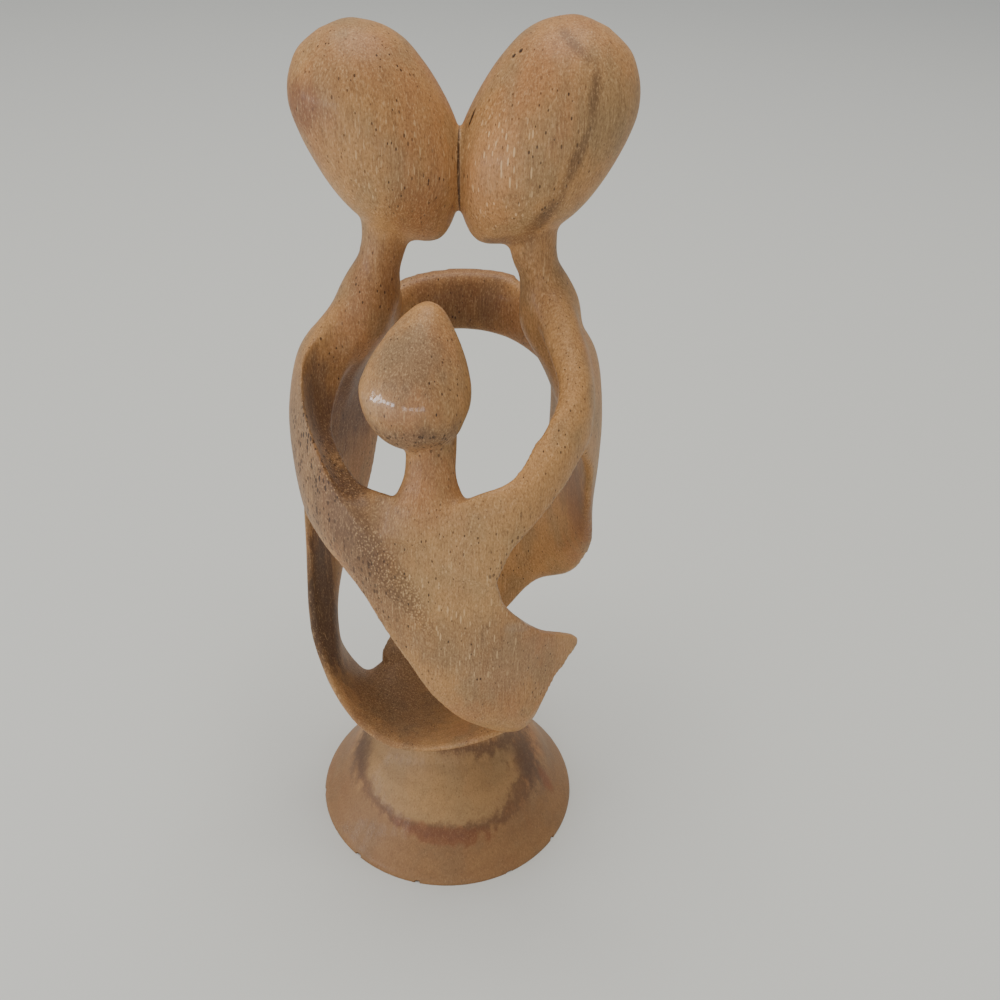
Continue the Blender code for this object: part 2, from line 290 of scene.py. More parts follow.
@dataclass
class Limb:
    """A round neck, its rings lying level.

    Attributes:
        rows: Centre, half width across X and half width across Y of each ring.
        sides: Points round a ring.
        along: Steps from one ring to the next.
    """

    rows: tuple
    sides: int = 48
    along: int = 8

    def shell(self, log: Log) -> Shell:
        """The neck's closed skin, in drawn millimetres."""
        path = curve_through([(*centre, wide, deep) for centre, wide, deep in self.rows],
                             self.along)
        turn = np.linspace(0, 2 * np.pi, self.sides, endpoint=False)
        return tube_of([np.stack([x + wide * np.cos(turn), y + deep * np.sin(turn),
                                  np.full(self.sides, z)], 1) for x, y, z, wide, deep in path])


@dataclass
class Head:
    """A smooth faceless head, an ovoid from the crown to the chin.

    Attributes:
        crown: The top, in drawn millimetres.
        chin: The lowest point, in drawn millimetres.
        radius: Largest half width, in metres.
        shares: Share of the length and of the radius at each ring.
        depth_share: Half depth as a share of half width.
        bend: How far the middle is bowed outwards, in drawn millimetres.
        jaw: How far a small corner stands out on the +X side low down, in drawn millimetres.
        jaw_turn: Where the corner lies round the head, in radians from the side.
        jaw_spread: Its spread round the head in radians, and along it as a share of the length.
        jaw_along: Its place from crown to chin, as a share of the length.
        least_share: Least share of the radius, at the two ends.
        sides: Points round a ring.
        along: Steps from one share to the next.
    """

    crown: Point
    chin: Point
    radius: float
    shares: tuple
    depth_share: float = 0.90
    bend: float = 0.0
    jaw: float = 0.0
    jaw_turn: float = -0.35
    jaw_spread: tuple[float, float] = (0.28, 0.10)
    jaw_along: float = 0.82
    least_share: float = 0.02
    sides: int = 96
    along: int = 6

    def shell(self, log: Log) -> Shell:
        """The head's closed skin, in drawn millimetres."""
        crown, chin = np.array(self.crown, float), np.array(self.chin, float)
        axis = chin - crown
        length = np.linalg.norm(axis)
        axis /= length
        side = np.cross(axis, (0.0, 1.0, 0.0))
        side /= np.linalg.norm(side)
        front = np.cross(side, axis)
        turn = np.linspace(0, 2 * np.pi, self.sides, endpoint=False)
        from_jaw = np.abs((turn - self.jaw_turn + np.pi) % (2 * np.pi) - np.pi)
        round_it, along_it = self.jaw_spread
        rings = []
        for along, share in curve_through(self.shares, self.along):
            centre = crown + axis * length * along + side * self.bend * np.sin(np.pi * along)
            wide = max(share, self.least_share) * self.radius / log.unit
            below = (along - self.jaw_along) / along_it
            corner = self.jaw * np.exp(-from_jaw / round_it) * np.exp(-below ** 2)
            rings.append(centre + np.outer(np.cos(turn) * (wide + corner), side)
                         + np.outer(np.sin(turn) * (wide + corner), front) * self.depth_share)
        return tube_of(rings)


@dataclass
class Base:
    """The bell-shaped round foot.

    Attributes:
        radius: Half width at the ground, in metres.
        height: Height up to the bowl, in metres.
        profile: Share of the height and of the radius at each ring, from below the ground up.
        nick_size: Usual half width of the small nicks in the rim, in metres.
        nick_count: How many nicks the rim has.
        nick_stray: How far they stray from even places, in metres.
        nick_rise: How high the highest one lies, in metres.
        seed: Seed of the nicks' places.
        sides: Points round a ring.
        along: Steps from one share to the next.
    """

    radius: float = 0.0340
    height: float = 0.0318
    profile: tuple = ((-0.10, 0.95), (-0.06, 0.998), (0.0, 1.0), (0.04, 0.985), (0.09, 0.95),
                      (0.17, 0.895), (0.28, 0.825), (0.42, 0.75), (0.55, 0.665), (0.68, 0.57),
                      (0.80, 0.50), (0.92, 0.45), (1.0, 0.44))
    nick_size: float = 0.0006
    nick_count: int = 11
    nick_stray: float = 0.005
    nick_rise: float = 0.0004
    seed: int = 5
    sides: int = 120
    along: int = 5

    def shell(self, log: Log) -> Shell:
        """The foot's closed skin, in drawn millimetres."""
        turn = np.linspace(0, 2 * np.pi, self.sides, endpoint=False)
        radius, height = self.radius / log.unit, self.height / log.unit
        return tube_of([np.stack([radius * share * np.cos(turn), radius * share * np.sin(turn),
                                  np.full(self.sides, height * up)], 1)
                        for up, share in curve_through(self.profile, self.along)])

    def nick_tree(self) -> bpy.types.NodeTree:
        """The rule of the rim's nicks: small lumps at uneven places, to be cut away.

        Returns:
            A tree that makes the lumps.
        """
        tree, start, end = geometry_tree("Rim Nicks", {
            "Radius": ("NodeSocketFloat", self.radius),
            "Count": ("NodeSocketInt", self.nick_count),
            "Size": ("NodeSocketFloat", self.nick_size),
            "Seed": ("NodeSocketInt", self.seed),
            "Material": ("NodeSocketMaterial", None),
        })
        given = start.outputs
        ring = add(tree, "GeometryNodeCurvePrimitiveCircle", {},
                   {"Resolution": given["Count"], "Radius": given["Radius"]})
        lowest = (-self.nick_stray, -self.nick_stray, 0.0)
        highest = (self.nick_stray, self.nick_stray, self.nick_rise)
        stray = add(tree, "FunctionNodeRandomValue",
                    {"data_type": "FLOAT_VECTOR", 0: lowest, 1: highest},
                    {"Seed": given["Seed"]}).outputs[0]
        spread = add(tree, "GeometryNodeSetPosition", {},
                     {"Geometry": ring.outputs["Curve"], "Offset": stray}).outputs["Geometry"]
        place = add(tree, "GeometryNodeInputPosition").outputs["Position"]
        outward = add(tree, "ShaderNodeVectorMath", {"operation": "NORMALIZE"},
                      {0: place}).outputs["Vector"]
        rim = add(tree, "ShaderNodeVectorMath", {"operation": "SCALE"},
                  {0: outward, "Scale": given["Radius"]}).outputs["Vector"]
        on_rim = add(tree, "GeometryNodeSetPosition", {},
                     {"Geometry": spread, "Position": rim}).outputs["Geometry"]
        lump = add(tree, "GeometryNodeMeshIcoSphere", {"Subdivisions": 2},
                   {"Radius": given["Size"]}).outputs["Mesh"]
        size = add(tree, "FunctionNodeRandomValue",
                   {"data_type": "FLOAT_VECTOR", 0: (0.5, 0.5, 0.5), 1: (2.0, 2.0, 1.3)},
                   {"Seed": given["Seed"]}).outputs[0]
        lumps = add(tree, "GeometryNodeInstanceOnPoints", {},
                    {"Points": on_rim, "Instance": lump, "Scale": size}).outputs["Instances"]
        real = add(tree, "GeometryNodeRealizeInstances", {},
                   {"Geometry": lumps}).outputs["Geometry"]
        done = add(tree, "GeometryNodeSetMaterial", {},
                   {"Geometry": real, "Material": given["Material"]}).outputs["Geometry"]
        tree.links.new(done, end.inputs["Geometry"])
        return tree


# Each head's shape: share of the length from the crown, then share of the radius
PARENT_EGG = ((0.0, 0.0), (0.02, 0.36), (0.06, 0.57), (0.12, 0.76), (0.20, 0.90), (0.30, 0.97),
              (0.40, 1.0), (0.52, 1.0), (0.64, 0.95), (0.75, 0.83), (0.85, 0.62), (0.93, 0.38),
              (0.98, 0.17), (1.0, 0.0))
CHILD_EGG = ((0.0, 0.0), (0.02, 0.16), (0.06, 0.29), (0.12, 0.42), (0.20, 0.57), (0.30, 0.73),
             (0.40, 0.86), (0.52, 0.97), (0.64, 1.0), (0.75, 0.91), (0.85, 0.75), (0.93, 0.52),
             (0.98, 0.25), (1.0, 0.0))
# Rows of the ribbons and necks, in drawn millimetres
LEFT_TORSO = (
    ((-20.5, -4, 152), 0.0, (-14, 3, 151), 1.45),
    ((-24, -6, 145), -0.5, (-14, 12, 145), 1.9),
    ((-29, -8, 136), -0.3, (-14.5, 25, 136.5), 2.3),
    ((-33, -8, 121), 0.6, (-18, 28, 121), 1.9),
    ((-33, -8, 100), 0.3, (-21, 26.5, 98), 1.2),
    ((-33.4, -8, 82), 0.1, (-24.5, 23.5, 81), 1.0),
    ((-33.9, -8, 68), 0.0, (-30.5, 12.5, 65), 1.0),
    ((-32.7, -9.5, 58), 0.2, (-31.9, 8.2, 54), 1.0),
    ((-28.2, -12.5, 46), (-31.4, -1.5, 42), (-30, 8, 43), 1.0),
    ((-22.4, -16, 38.3), (-24.8, -3, 32.5), (-23.5, 8.5, 33), 1.15),
    ((-14.5, -19.5, 34.8), (-15.5, -4, 28), (-17, 10.5, 36), 1.25),
    ((-5.5, -21.5, 35.4), (-6, -3, 26.5), (-8, 14, 31), 1.35),
    ((2.5, -23, 38.6), (2.5, -3, 27), (1, 17, 30), 1.35),
    ((9.5, -23.6, 42.5), (11, -3, 30), (8, 18, 31), 1.35),
    ((16.5, -22, 45.5), (18, -3, 36), (14, 16, 35), 1.25),
    ((19.5, -20, 49.5), (20, -8, 43), (17, 4, 41), 1.15),
)
RIGHT_TORSO = (
    ((15.5, 3, 151), 0.6, (19.5, -7, 152), 1.35),
    ((15.5, 12, 145), 0.8, (22.5, -11.5, 145), 1.5),
    ((15, 24, 136.5), 0.0, (25.5, -17.5, 136), 1.75),
    ((21.6, 24, 121.5), -1.0, (27.2, -19.5, 125), 1.35),
    ((23, 24, 108), -0.8, (30, -14, 116), 1.2),
    ((21.8, 25.7, 96), -0.6, (31, -9.5, 102), 1.0),
    ((16, 29.5, 84), 0.0, (33, -1, 88), 1.0),
    ((7, 32.5, 72), 0.0, (32.8, 8.5, 75.5), 1.0),
    ((-3, 32, 61), 0.0, (30.3, 17.5, 63.5), 1.0),
    ((-12.5, 26.5, 51), 0.0, (22, 26, 53.5), 1.0),
    ((-15.8, 17, 43), (-4, 28.5, 43), (14.5, 26.5, 42.5), 1.15),
    ((-19.2, 10, 38.2), (-6, 21, 35), (9, 22, 36), 1.35),
    ((-16.5, 6, 33.5), (-7, 14, 30), (5, 18, 31), 1.35),
)
LEFT_ARM = (
    ((-22, 3, 149), (-20, -4, 151), (-15, -4, 148), 1.35),
    ((-26, 4, 142), (-25, -7, 144.5), (-20, -6.5, 139), 1.35),
    ((-31.8, 3, 133), (-30, -11, 137.5), (-24.3, -5, 128.8), 1.35),
    ((-35.0, -1, 121), (-30, -15.5, 131), (-26, -7, 120.6), 1.25),
    ((-34.9, -5.5, 110.5), (-28.1, -19.5, 125.5), (-24.2, -11.5, 117), 1.15),
    ((-32, -13, 102), (-24.2, -24.3, 118), (-18.8, -20, 114.2), 1.05),
    ((-27, -21, 99), (-19.5, -28, 112), (-10.4, -28, 116), 1.05),
    ((-21.5, -26, 95.2), (-12, -31.8, 104), (-2, -32.5, 113), 1.05),
    ((-17.3, -28.7, 90.8), (-6, -33, 98), (6, -32.5, 107), 1.05),
    ((-12.7, -31, 83.4), (-1, -33.7, 90), (10.8, -32, 98.5), 1.0),
    ((-7.6, -32.2, 75), (4, -33.7, 81), (13.6, -31, 90.5), 0.95),
    ((-2.6, -32, 65.5), (9, -33, 72), (21.7, -26.2, 80.4), 0.9),
    ((3.2, -29.5, 56.6), (15, -30.5, 62), (30.8, -15.6, 69.8), 0.7),
    ((8, -27.5, 52), (17, -29, 57), (28.4, -18.6, 65.4), 0.75),
    ((12, -25, 48), (18.5, -27, 52), (24.2, -23.4, 60.4), 0.8),
    ((16, -21.5, 44.5), (19, -23, 46.5), (22, -22.5, 51.5), 0.95),
)
RIGHT_ARM = (
    ((23, -1, 150), (20.5, -5.5, 152), (15, -4, 149), 1.35),
    ((27, -7, 142), (24, -12, 145), (17.5, -10.5, 143), 1.35),
    ((29.4, -13.5, 133.5), (26, -18.5, 138), (20.6, -17.5, 136), 1.35),
    ((28.8, -18, 126.8), (25, -23, 131), (17.6, -23.3, 129), 1.25),
    ((24.6, -23.6, 119), (20, -27.5, 122.5), (13.2, -27.3, 121.6), 1.15),
    ((19.2, -28, 112.2), (13, -31, 115), (6.7, -30, 119.2), 1.1),
    ((13.9, -31, 105.7), (6, -33, 108), (-1, -31.5, 115), 1.1),
    ((11.2, -32, 98), (3, -33.6, 101), (-8, -31, 108), 1.05),
)
BACK_ARCH = (
    ((-26, 17, 133), 0.0, (-26.5, 17.5, 120), 1.0),
    ((-21.3, 24.5, 135.5), 0.0, (-21.8, 25, 121), 1.0),
    ((-12, 31.6, 138.2), 0.0, (-12, 31.6, 123.4), 1.0),
    ((0, 33.8, 139.6), 0.0, (0, 33.8, 124.8), 1.0),
    ((12, 31.6, 139.4), 0.0, (12, 31.6, 124), 1.0),
    ((21.3, 24.5, 136), 0.0, (21.8, 25, 121), 1.0),
    ((26, 17, 133), 0.0, (26.5, 17.5, 118), 1.0),
)
LEFT_NECK = (
    ((-13.6, 0.5, 168), 6.0, 6.0),
    ((-14.0, 0.3, 161), 5.0, 5.2),
    ((-15.1, 0, 156.5), 4.6, 4.8),
    ((-16.9, 0.8, 152), 5.3, 5.8),
    ((-18.2, 0.8, 147), 6.6, 7.2),
    ((-19.5, 1.5, 141), 6.6, 8.0),
    ((-21.5, 6.0, 134), 5.5, 10.0),
    ((-24.5, 11.0, 125), 4.0, 10.0),
    ((-27.0, 13.0, 114), 2.5, 7.0),
)
RIGHT_NECK = (
    ((14, 0.5, 168), 6.0, 6.0),
    ((14.8, 0.3, 161), 5.0, 5.2),
    ((15.7, 0, 156.5), 4.7, 4.8),
    ((17.9, 0.8, 152), 5.3, 5.8),
    ((19.2, 0.8, 147), 6.5, 7.2),
    ((19.9, 1.5, 141), 6.6, 8.0),
    ((23.6, 5.0, 132), 5.4, 12.0),
    ((26.2, 5.5, 122), 3.8, 12.0),
    ((28.2, 5.5, 111), 2.4, 8.0),
)
CHILD_NECK = (
    ((-3.2, -23, 134), 5.0, 4.6),
    ((-3.2, -24, 127), 5.1, 4.6),
    ((-3.3, -26.0, 120), 5.3, 4.4),
    ((-3.3, -28, 114), 7.8, 4.2),
    ((-3.5, -29.3, 108), 9.0, 4.0),
)


@dataclass
class Parent:
    """One parent: head, neck, body and arm.

    Attributes:
        head: The smooth head.
        neck: Rings of the neck.
        torso: Rows of the body's ribbon, from the neck down into the bowl.
        arm: Rows of the arm's ribbon, from the shoulder across the front.
        crests: How sharply each of the arm's rows is folded.
    """

    head: Head
    neck: tuple
    torso: tuple
    arm: tuple
    crests: tuple[float, ...] = ()

    def forms(self) -> list:
        """The parent's forms, which overlap each other."""
        return [Strip(self.torso, edge=0.0011, keen=0.6), Strip(self.arm, self.crests),
                Limb(self.neck), self.head]


@dataclass
class Child:
    """The child: head and neck, growing out of the crossed arms.

    Attributes:
        head: The pointed head.
        neck: Rings of the neck, down into the chest.
    """

    head: Head
    neck: tuple

    def forms(self) -> list:
        """The child's forms, which overlap each other."""
        return [Limb(self.neck), self.head]


def linear(code: str) -> tuple[float, float, float, float]:
    """A colour for a shader.

    Args:
        code: The sRGB colour as six hex digits after a hash.

    Returns:
        Red, green, blue in linear light, and 1.
    """
    parts = [int(code[i:i + 2], 16) / 255 for i in (1, 3, 5)]
    return (*[p / 12.92 if p <= 0.04045 else ((p + 0.055) / 1.055) ** 2.4 for p in parts], 1.0)


def add(tree: bpy.types.NodeTree, kind: str, settings: dict | None = None,
        links: dict | None = None) -> bpy.types.Node:
    """Adds a node to a tree.

    Args:
        tree: The tree.
        kind: The node's type.
        settings: Attributes of the node, and values of its inputs by name or number.
        links: What else goes to its inputs by name or number, mostly output sockets to link.

    Returns:
        The node.
    """
    node = tree.nodes.new(kind)
    for name, value in {**(settings or {}), **(links or {})}.items():
        if isinstance(value, Socket):
            tree.links.new(value, node.inputs[name])
        elif isinstance(name, str) and hasattr(node, name):
            setattr(node, name, value)
        else:
            node.inputs[name].default_value = value
    return node


def geometry_tree(name: str, inputs: dict[str, tuple[str, object]]) -> tuple:
    """A new Geometry Nodes tree with named inputs.

    Args:
        name: The tree's name.
        inputs: For each input its socket type and its default value, or None.

    Returns:
        The tree, its input node and its output node.
    """
    tree = bpy.data.node_groups.new(name, "GeometryNodeTree")
    tree.interface.new_socket("Geometry", in_out="INPUT", socket_type="NodeSocketGeometry")
    for label, (kind, value) in inputs.items():
        socket = tree.interface.new_socket(label, in_out="INPUT", socket_type=kind)
        if value is not None:
            socket.default_value = value
    tree.interface.new_socket("Geometry", in_out="OUTPUT", socket_type="NodeSocketGeometry")
    return tree, tree.nodes.new("NodeGroupInput"), tree.nodes.new("NodeGroupOutput")


def run_tree(piece: bpy.types.Object, tree: bpy.types.NodeTree, values: dict) -> None:
    """Runs a tree on a piece and keeps the result as its plain mesh.

    Args:
        piece: The piece.
        tree: The Geometry Nodes tree.
        values: The value of each named input.
    """
    modifier = piece.modifiers.new(tree.name, "NODES")
    modifier.node_group = tree
    for item in tree.interface.items_tree:
        if item.in_out == "INPUT" and item.name in values:
            modifier[item.identifier] = values[item.name]
    work_in(piece)


def work_in(piece: bpy.types.Object) -> None:
    """Replaces a piece's mesh by what its modifiers make of it, and removes them."""
    graph = bpy.context.evaluated_depsgraph_get()
    mesh = bpy.data.meshes.new_from_object(piece.evaluated_get(graph))
    piece.modifiers.clear()
    piece.data = mesh


def new_piece(name: str, points: np.ndarray, faces: list) -> bpy.types.Object:
    """An object with this mesh, in the scene."""
    mesh = bpy.data.meshes.new(name)
    mesh.from_pydata(np.asarray(points).tolist(), [], faces)
    piece = bpy.data.objects.new(name, mesh)
    bpy.context.scene.collection.objects.link(piece)
    return piece


@dataclass(frozen=True)
class Patch:
    """A place on the log for the wood's figure and for painted shade: an ellipsoid with a
    ragged border.

    Attributes:
        place: Its middle, in millimetres.
        reach: Its half sizes before it is turned, in millimetres.
        turn: How it is turned about X, Y and Z, in degrees.
        strength: How strongly the figure shows in the middle, from 0 to 1.
        soft: Share of its reach over which it fades.
        ragged: How far its border wanders, as a share of its reach.
        colour: Its tone as sRGB hex, for stained wood and for painted shade.
        rim: Half width of the band along its border that alone shows, as a share of its
            reach; 0 where all of it shows.
    """

    place: Point
    reach: Point
    turn: Point = (0.0, 0.0, 0.0)
    strength: float = 0.6
    soft: float = 0.7
    ragged: float = 0.5
    colour: str = ""
    rim: float = 0.0


class Figure:
    """Draws a wood's figure, and the shade painted over it, in a shader tree, in millimetres.

    Attributes:
        tree: The shader tree.
        place: The point on the piece.
        border: How far the borders of patches wander there, as a share.
    """

    def __init__(self, tree: bpy.types.NodeTree) -> None:
        """Starts from the point on the piece.

        Args:
            tree: The shader tree.
        """
        self.tree = tree
        where = add(tree, "ShaderNodeTexCoord").outputs["Object"]
        self.place = add(tree, "ShaderNodeVectorMath", {"operation": "SCALE", "Scale": 1 / MM},
                         {0: where}).outputs["Vector"]
        uneven = self.field("ShaderNodeTexNoise", (2.6, 7), {"Detail": 5, "Roughness": 0.65})
        self.border = add(tree, "ShaderNodeMath", {"operation": "SUBTRACT", 1: 0.5},
                          {0: uneven["Fac"]}).outputs["Value"]

    def field(self, kind: str, room: Room, settings: dict) -> bpy.types.bpy_prop_collection:
        """A texture drawn out along the grain.

        Args:
            kind: The texture's type.
            room: Size of its lumps or cells across and along the grain.
            settings: Its other settings.

        Returns:
            The texture's outputs.
        """
        across, along = room
        drawn = add(self.tree, "ShaderNodeMapping", {"Scale": (1 / across, 1 / across, 1 / along)},
                    {"Vector": self.place}).outputs["Vector"]
        return add(self.tree, kind, {"Scale": 1.0, **settings}, {"Vector": drawn}).outputs

    def shows(self, value: Socket, low: float, high: float, start: float = 0.0,
              end: float = 1.0, masks: tuple = ()) -> Socket:
        """How strongly a mark shows: a smooth step over a value, times its masks.

        Args:
            value: What the step follows.
            low: Where it starts.
            high: Where it ends.
            start: The strength before it.
            end: The strength after it.
            masks: Sockets or numbers.

        Returns:
            The strength.
        """
        found = add(self.tree, "ShaderNodeMapRange",
                    {"interpolation_type": "SMOOTHSTEP", "From Min": low, "From Max": high,
                     "To Min": start, "To Max": end}, {"Value": value}).outputs["Result"]
        for mask in masks:
            found = add(self.tree, "ShaderNodeMath", {"operation": "MULTIPLY"},
                        {0: found, 1: mask}).outputs["Value"]
        return found

    def patch(self, patch: Patch) -> Socket:
        """How strongly a patch shows.

        Args:
            patch: The patch.

        Returns:
            Its strength at the place.
        """
        turn = tuple(map(math.radians, patch.turn))
        local = add(self.tree, "ShaderNodeMapping",
                    {"vector_type": "TEXTURE", "Location": patch.place, "Rotation": turn,
                     "Scale": patch.reach}, {"Vector": self.place}).outputs["Vector"]
        away = add(self.tree, "ShaderNodeVectorMath", {"operation": "LENGTH"},
                   {0: local}).outputs["Value"]
        away = add(self.tree, "ShaderNodeMath", {"operation": "MULTIPLY_ADD", 1: 2 * patch.ragged},
                   {0: self.border, 2: away}).outputs["Value"]
        if patch.rim:
            for operation, other in (("SUBTRACT", 1.0), ("ABSOLUTE", 0.0), ("DIVIDE", patch.rim)):
                away = add(self.tree, "ShaderNodeMath", {"operation": operation, 1: other},
                           {0: away}).outputs["Value"]
        return self.shows(away, 1.1 - patch.soft, 1.1, patch.strength, 0.0)

    def any_of(self, patches: tuple[Patch, ...]) -> Socket:
        """How strongly the strongest of the patches shows."""
        found = self.patch(patches[0])
        for patch in patches[1:]:
            found = add(self.tree, "ShaderNodeMath", {"operation": "MAXIMUM"},
                        {0: found, 1: self.patch(patch)}).outputs["Value"]
        return found

    def dashes(self, room: Room, size: float, share: float, masks: tuple) -> Socket:
        """Drawn out marks along the grain.

        Args:
            room: Room of a mark across and along the grain.
            size: Usual half size of a mark, as a share of its room.
            share: Share of the rooms that have one.
            masks: Where and how strongly they show.

        Returns:
            How strongly a mark shows.
        """
        cells = self.field("ShaderNodeTexVoronoi", room, {"Randomness": 1.0})
        picks = add(self.tree, "ShaderNodeSeparateColor", {}, {"Color": cells["Color"]}).outputs
        radius = self.shows(picks["Green"], 0.0, 1.0, 0.5 * size, 1.3 * size)
        inside = add(self.tree, "ShaderNodeMath", {"operation": "SUBTRACT"},
                     {0: radius, 1: cells["Distance"]}).outputs["Value"]
        picked = self.shows(picks["Red"], 1 - share, 1.05 - share)
        return self.shows(inside, 0.0, 0.08, masks=(picked, *masks))

    def layered(self, ground: object, layers: list) -> Socket:
        """Lays tones over the ground.

        Args:
            ground: The lowest tone, in linear light.
            layers: How strongly each tone covers, and its sRGB hex, from below up.

        Returns:
            The tone that is seen.
        """
        for cover, tone in layers:
            ground = add(self.tree, "ShaderNodeMix", {"data_type": "RGBA", 7: linear(tone)},
                         {0: cover, 6: ground}).outputs[2]
        return ground


@dataclass(frozen=True)
class WaxedSuar:
    """Suar, a light tropical hardwood, knife-carved, sanded and waxed: a tan ground with olive
    and red patches, painted shade in the hollows, under the chins and on the back arch,
    fibres along the log, open pores, pale flecks and a soft sheen.

    Attributes:
        tan: The ground.
        olive: Greener, duller patches.
        red: Redder heartwood.
        dark: Fibres and growth rings.
        pore: Open pores.
        pale: Flecks, scales and the light side of the grain.
        stains_and_shade: Where the ground is of another tone: stained wood, and painted shade in
            the hollows, under the chins and on the back arch.
        coarse: Where the log's skin was near, and its pores are large.
        flecked: Where pale flecks show along the grain.
        scaled: Where the cut runs across the grain in pale scales.
        polished: Where the wax is rubbed to a gloss.
        pore_mm: Room of a fine pore across and along the grain.
        coarse_mm: The same for a large pore.
        fleck_mm: The same for a fleck.
        scale_mm: The same for a scale.
        fibre_mm: Width and length of a fibre bundle.
        speck_mm: The same for the fine speckle.
        rings_per_mm: Growth rings in a millimetre.
        relief_mm: Depth of pores and fibres.
        sanded_below: Height below which the grain is sanded closed, in millimetres.
        roughness: Of the waxed surface.
        gloss_roughness: Of the rubbed wax.
    """

    tan: str = "#BA8A55"
    olive: str = "#9C7F58"
    red: str = "#A76E44"
    dark: str = "#5E3E26"
    pore: str = "#3A2417"
    pale: str = "#E0B885"
    stains_and_shade: tuple[Patch, ...] = (
        # Left arm, left body and bowl
        Patch((-31, -14, 117), (12, 13, 28), colour="#80644A", strength=0.65),
        Patch((-15, -29, 107), (14, 8, 15), (0, 35, 0), 0.55, colour="#7B5D44"),
        Patch((-14, -30, 95), (7, 8, 26), (0, -33, 0), 0.6, colour="#765941"),
        # Painted shade in the left arm's scoop and in the pocket at its inner edge
        Patch((-26.5, -10, 122), (4.5, 7, 17), (0, -8, 0), 0.75, 0.8, 0.4, "#6B4E3A"),
        Patch((-19, -21, 114), (9, 7, 4), (0, 40, 0), 0.7, 0.7, colour="#5C4333"),
        # Painted shade on the left body's inner face below the arm
        Patch((-30, -5, 66), (8, 10, 34), strength=0.9, colour="#4B3629"),
        Patch((-24, -25, 109), (9, 8, 12), strength=0.65, colour="#745740"),
        # Painted shade in the hollow of the bowl
        Patch((-14, 0, 37), (22, 24, 13), strength=0.65, colour="#6B533E"),
        # Heads, with the dark line down the right one
        Patch((-30, -7, 184), (9, 8, 6), (0, -20, 0), 0.7, colour="#84502F"),
        Patch((-19, -9, 192), (9, 9, 6), strength=0.5, colour="#AB7A4C"),
        Patch((-7, -9, 167), (7, 8, 9), strength=0.6, colour="#9C6638"),
        Patch((6, -9, 175), (8, 8, 13), strength=0.75, colour="#C98F58"),
        Patch((27, -8, 186), (7, 9, 13), strength=0.6, colour="#A1835A"),
        Patch((20, -5, 196.9), (5.5, 7, 1.3), (0, 36, 0), 0.6, 0.9, 0.3, "#664A33"),
        Patch((24, -8.5, 189.5), (1.4, 7, 7.5), (0, 3, 0), 0.65, 0.9, 0.3, "#5F452F"),
        Patch((21.8, -9.6, 178.6), (1.6, 7, 9.5), (0, 20, 0), 0.65, 0.9, 0.3, "#5F452F"),
        # Lowest part of the dark line, widened into painted shade along the jaw
        Patch((16.4, -7, 166.8), (2.2, 8, 8.5), (0, 31, 0), 0.75, 0.9, 0.3, "#5F452F"),
        # Painted shadow under the right head's chin
        Patch((11, -4, 160.6), (8, 6, 2), (0, -12, 0), 0.6, 0.7, 0.6, "#6B4A30"),
        # Child, front, necks and back
        Patch((-7, -28, 146), (9, 9, 10), strength=0.75, colour="#856C50"),
        # Painted shade on the lower part of the child's head and its chin
        Patch((-6, -28, 131), (12, 12, 6), strength=0.65, colour="#745842"),
        Patch((-3, -29, 119), (8, 7, 12), strength=0.7, colour="#B17848"),
        Patch((4, -32, 100), (17, 9, 24), strength=0.55, colour="#BF9562"),
        Patch((16, -8, 155), (8, 9, 12), strength=0.5, colour="#AF7C4D"),
        Patch((-16, -5, 152), (8, 9, 10), strength=0.5, colour="#9A6941"),
        # Painted shade on the back arch under the heads
        Patch((0, 33, 133), (26, 9, 11), strength=0.7, colour="#7A5338"),
        # Mostly painted shade on the left body's inner wall, over its redder tone
        Patch((-22, 7, 116), (9, 18, 26), strength=0.8, colour="#6E4932"),
        Patch((4, -32, 81), (14, 8, 10), strength=0.5, colour="#94724F"),
        Patch((30, 0, 98), (11, 18, 17), strength=0.7, colour="#8F6446"),
        Patch((13, -30, 74), (12, 8, 14), strength=0.5, colour="#9C7E5E"),
        # Base
        Patch((0, -5, 3), (48, 48, 15), strength=0.7, soft=0.4, ragged=0.3, colour="#79583A"),
        Patch((-2, -8, 19), (23, 24, 11), (0, 6, 0), 0.65, 0.14, 0.25, "#AC885A"),
        # Dark ring at the heartwood's border; under the bowl's front rim it also stands for a
        # painted shadow
        Patch((-2, -8, 19), (23.5, 24.5, 11.5), (0, 6, 0), 0.72, 1.0, 0.25, "#65432D", 0.16),
        Patch((-23, -6, 16), (4, 9, 8), (0, 14, 0), 0.75, 0.8, 0.4, "#5E4331"),
        Patch((0, -26, 10.6), (15, 6, 2.7), (0, 3, 0), 0.7, 0.5, 0.9, "#7D4A2C"),
        Patch((22, -6.5, 16), (2.4, 8, 11), (0, -32, 0), 0.75, 0.8, 0.5, "#5E4534"),
        Patch((26.5, -7, 11), (1.2, 3, 6), (0, -25, 0), 0.6, 0.7, 0.8, "#8A4F2E"),
        # Crevice, crack and bores
        Patch((0.22, -5, 173), (0.3, 14, 12.5), (0, -1.6, 0), 0.9, 0.6, 0.0, "#3A2417"),
        Patch((2.4, -2.4, 182.8), (1.5, 0.38, 2.4), (0, 0, 30), 1.0, 0.5, 0.2, "#23150D"),
        Patch((10.8, -2.5, 194.9), (0.5, 0.5, 0.6), (0, 0, 0), 0.95, 0.5, 0.1, "#23150D"),
        Patch((9.6, -2.1, 193.9), (0.45, 0.5, 0.5), (0, 0, 0), 0.95, 0.5, 0.1, "#23150D"),
    )
